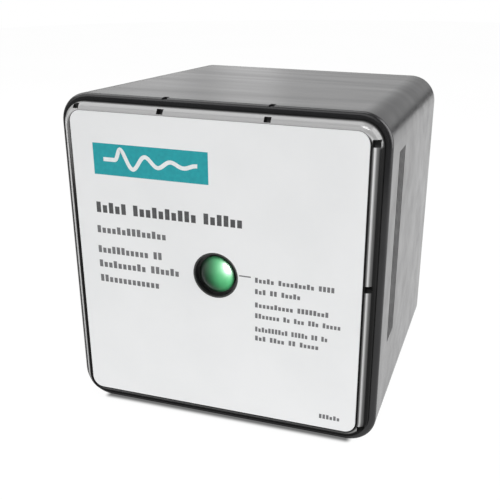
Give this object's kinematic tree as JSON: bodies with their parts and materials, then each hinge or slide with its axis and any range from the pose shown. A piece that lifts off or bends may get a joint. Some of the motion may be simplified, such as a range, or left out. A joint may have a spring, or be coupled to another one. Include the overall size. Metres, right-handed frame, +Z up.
{
  "type": "whole house surge protector",
  "caption": "Box-shaped surge protective device: glossy dark case, white front panel with one green indicator light, varistor board inside, threaded rear nipple with locknut.",
  "frame": {"origin": "centre of the bounding box in X and Y, at the level of the flat bottom of the case", "axes": "+X to the right of someone facing the front, +Y from the front cover towards the rear nipple, +Z up"},
  "size_m": [0.1, 0.1208, 0.101],
  "materials": {
    "housing_plastic": "glossy dark grey moulded polycarbonate",
    "cover_plastic": "glossy dark grey moulded polycarbonate",
    "label_face": "white printed plastic film, satin",
    "well_plastic": "black, satin",
    "green_lens": "clear green polycarbonate, polished",
    "green_led": "tinted clear epoxy",
    "black_rubber": "moulded, matt",
    "spring_steel": "plain spring steel",
    "nylon": "natural nylon",
    "circuit_board": "glass-epoxy board with green solder mask",
    "component_black": "moulded epoxy",
    "capacitor_sleeve": "shrunk plastic sleeve",
    "zinc_steel": "bright zinc plate",
    "tinned_brass": "tinned",
    "white_ceramic": "unglazed",
    "fish_paper": "pressed fibre sheet",
    "zinc_casting": "die-cast, tumbled",
    "varistor_epoxy": "blue dipped epoxy",
    "cutoff_metal": "plated case",
    "capacitor_box": "moulded box, yellow",
    "resistor_enamel": "cement enamel",
    "wire_red": "vinyl insulation",
    "wire_black": "vinyl insulation",
    "wire_white": "vinyl insulation"
  },
  "bodies": {
    "case": {"bridge_rectifier": "component_black", "cover_gasket": "black_rubber", "driver_chip": "component_black", "dropper_resistor_1": "resistor_enamel", "dropper_resistor_2": "resistor_enamel", "filter_capacitor_1": "capacitor_box", "filter_capacitor_2": "capacitor_box", "filter_capacitor_3": "capacitor_box", "front_cover": "cover_plastic", "front_label": "label_face", "fuse_clips": "tinned_brass", "gas_tube": "white_ceramic", "harness_wire_1": "wire_red", "harness_wire_2": "wire_black", "harness_wire_3": "wire_white", "indicator_board": "circuit_board", "indicator_board_screws": "zinc_steel", "indicator_connector": "nylon", "indicator_lens": "green_lens", "indicator_resistors": "component_black", "lead_bushing": "black_rubber", "lead_lug_1": "tinned_brass", "lead_lug_2": "tinned_brass", "lead_lug_3": "tinned_brass", "lead_lug_4": "tinned_brass", "lead_nipple": "zinc_casting", "led_spacer": "nylon", "lens_retainer": "spring_steel", "lens_seal": "black_rubber", "lens_well": "well_plastic", "line_fuse_1": "white_ceramic", "line_fuse_2": "white_ceramic", "nipple_retainer": "spring_steel", "phase_barrier": "fish_paper", "power_board": "circuit_board", "power_board_screws": "zinc_steel", "power_connector": "nylon", "rear_housing": "housing_plastic", "sealing_washer": "black_rubber", "smoothing_capacitor": "capacitor_sleeve", "status_led": "green_led", "thermal_cutoff_1": "cutoff_metal", "thermal_cutoff_2": "cutoff_metal", "thermal_cutoff_3": "cutoff_metal", "thermal_cutoff_4": "cutoff_metal", "varistor_1": "varistor_epoxy", "varistor_2": "varistor_epoxy", "varistor_3": "varistor_epoxy", "varistor_4": "varistor_epoxy", "varistor_5": "varistor_epoxy", "varistor_6": "varistor_epoxy", "varistor_7": "varistor_epoxy", "varistor_8": "varistor_epoxy"},
    "clamp_washer": {"clamp_washer": "zinc_steel"},
    "locknut": {"locknut": "zinc_steel"}
  },
  "joints": [
    {"name": "washer_slide", "type": "slide", "parent": "case", "child": "clamp_washer", "axis": [0, 1, 0], "range_m": [-0.00272, 0.00907]},
    {"name": "nut_spin", "type": "hinge", "parent": "clamp_washer", "child": "locknut", "pos_m": [0, 0.0471, 0.0505], "axis": [0, 1, 0], "range_deg": [-540, 1800]}
  ],
  "couplings": [
    {"joint": "nut_spin", "follows": "washer_slide", "rad_per_m": 3463.2}
  ]
}
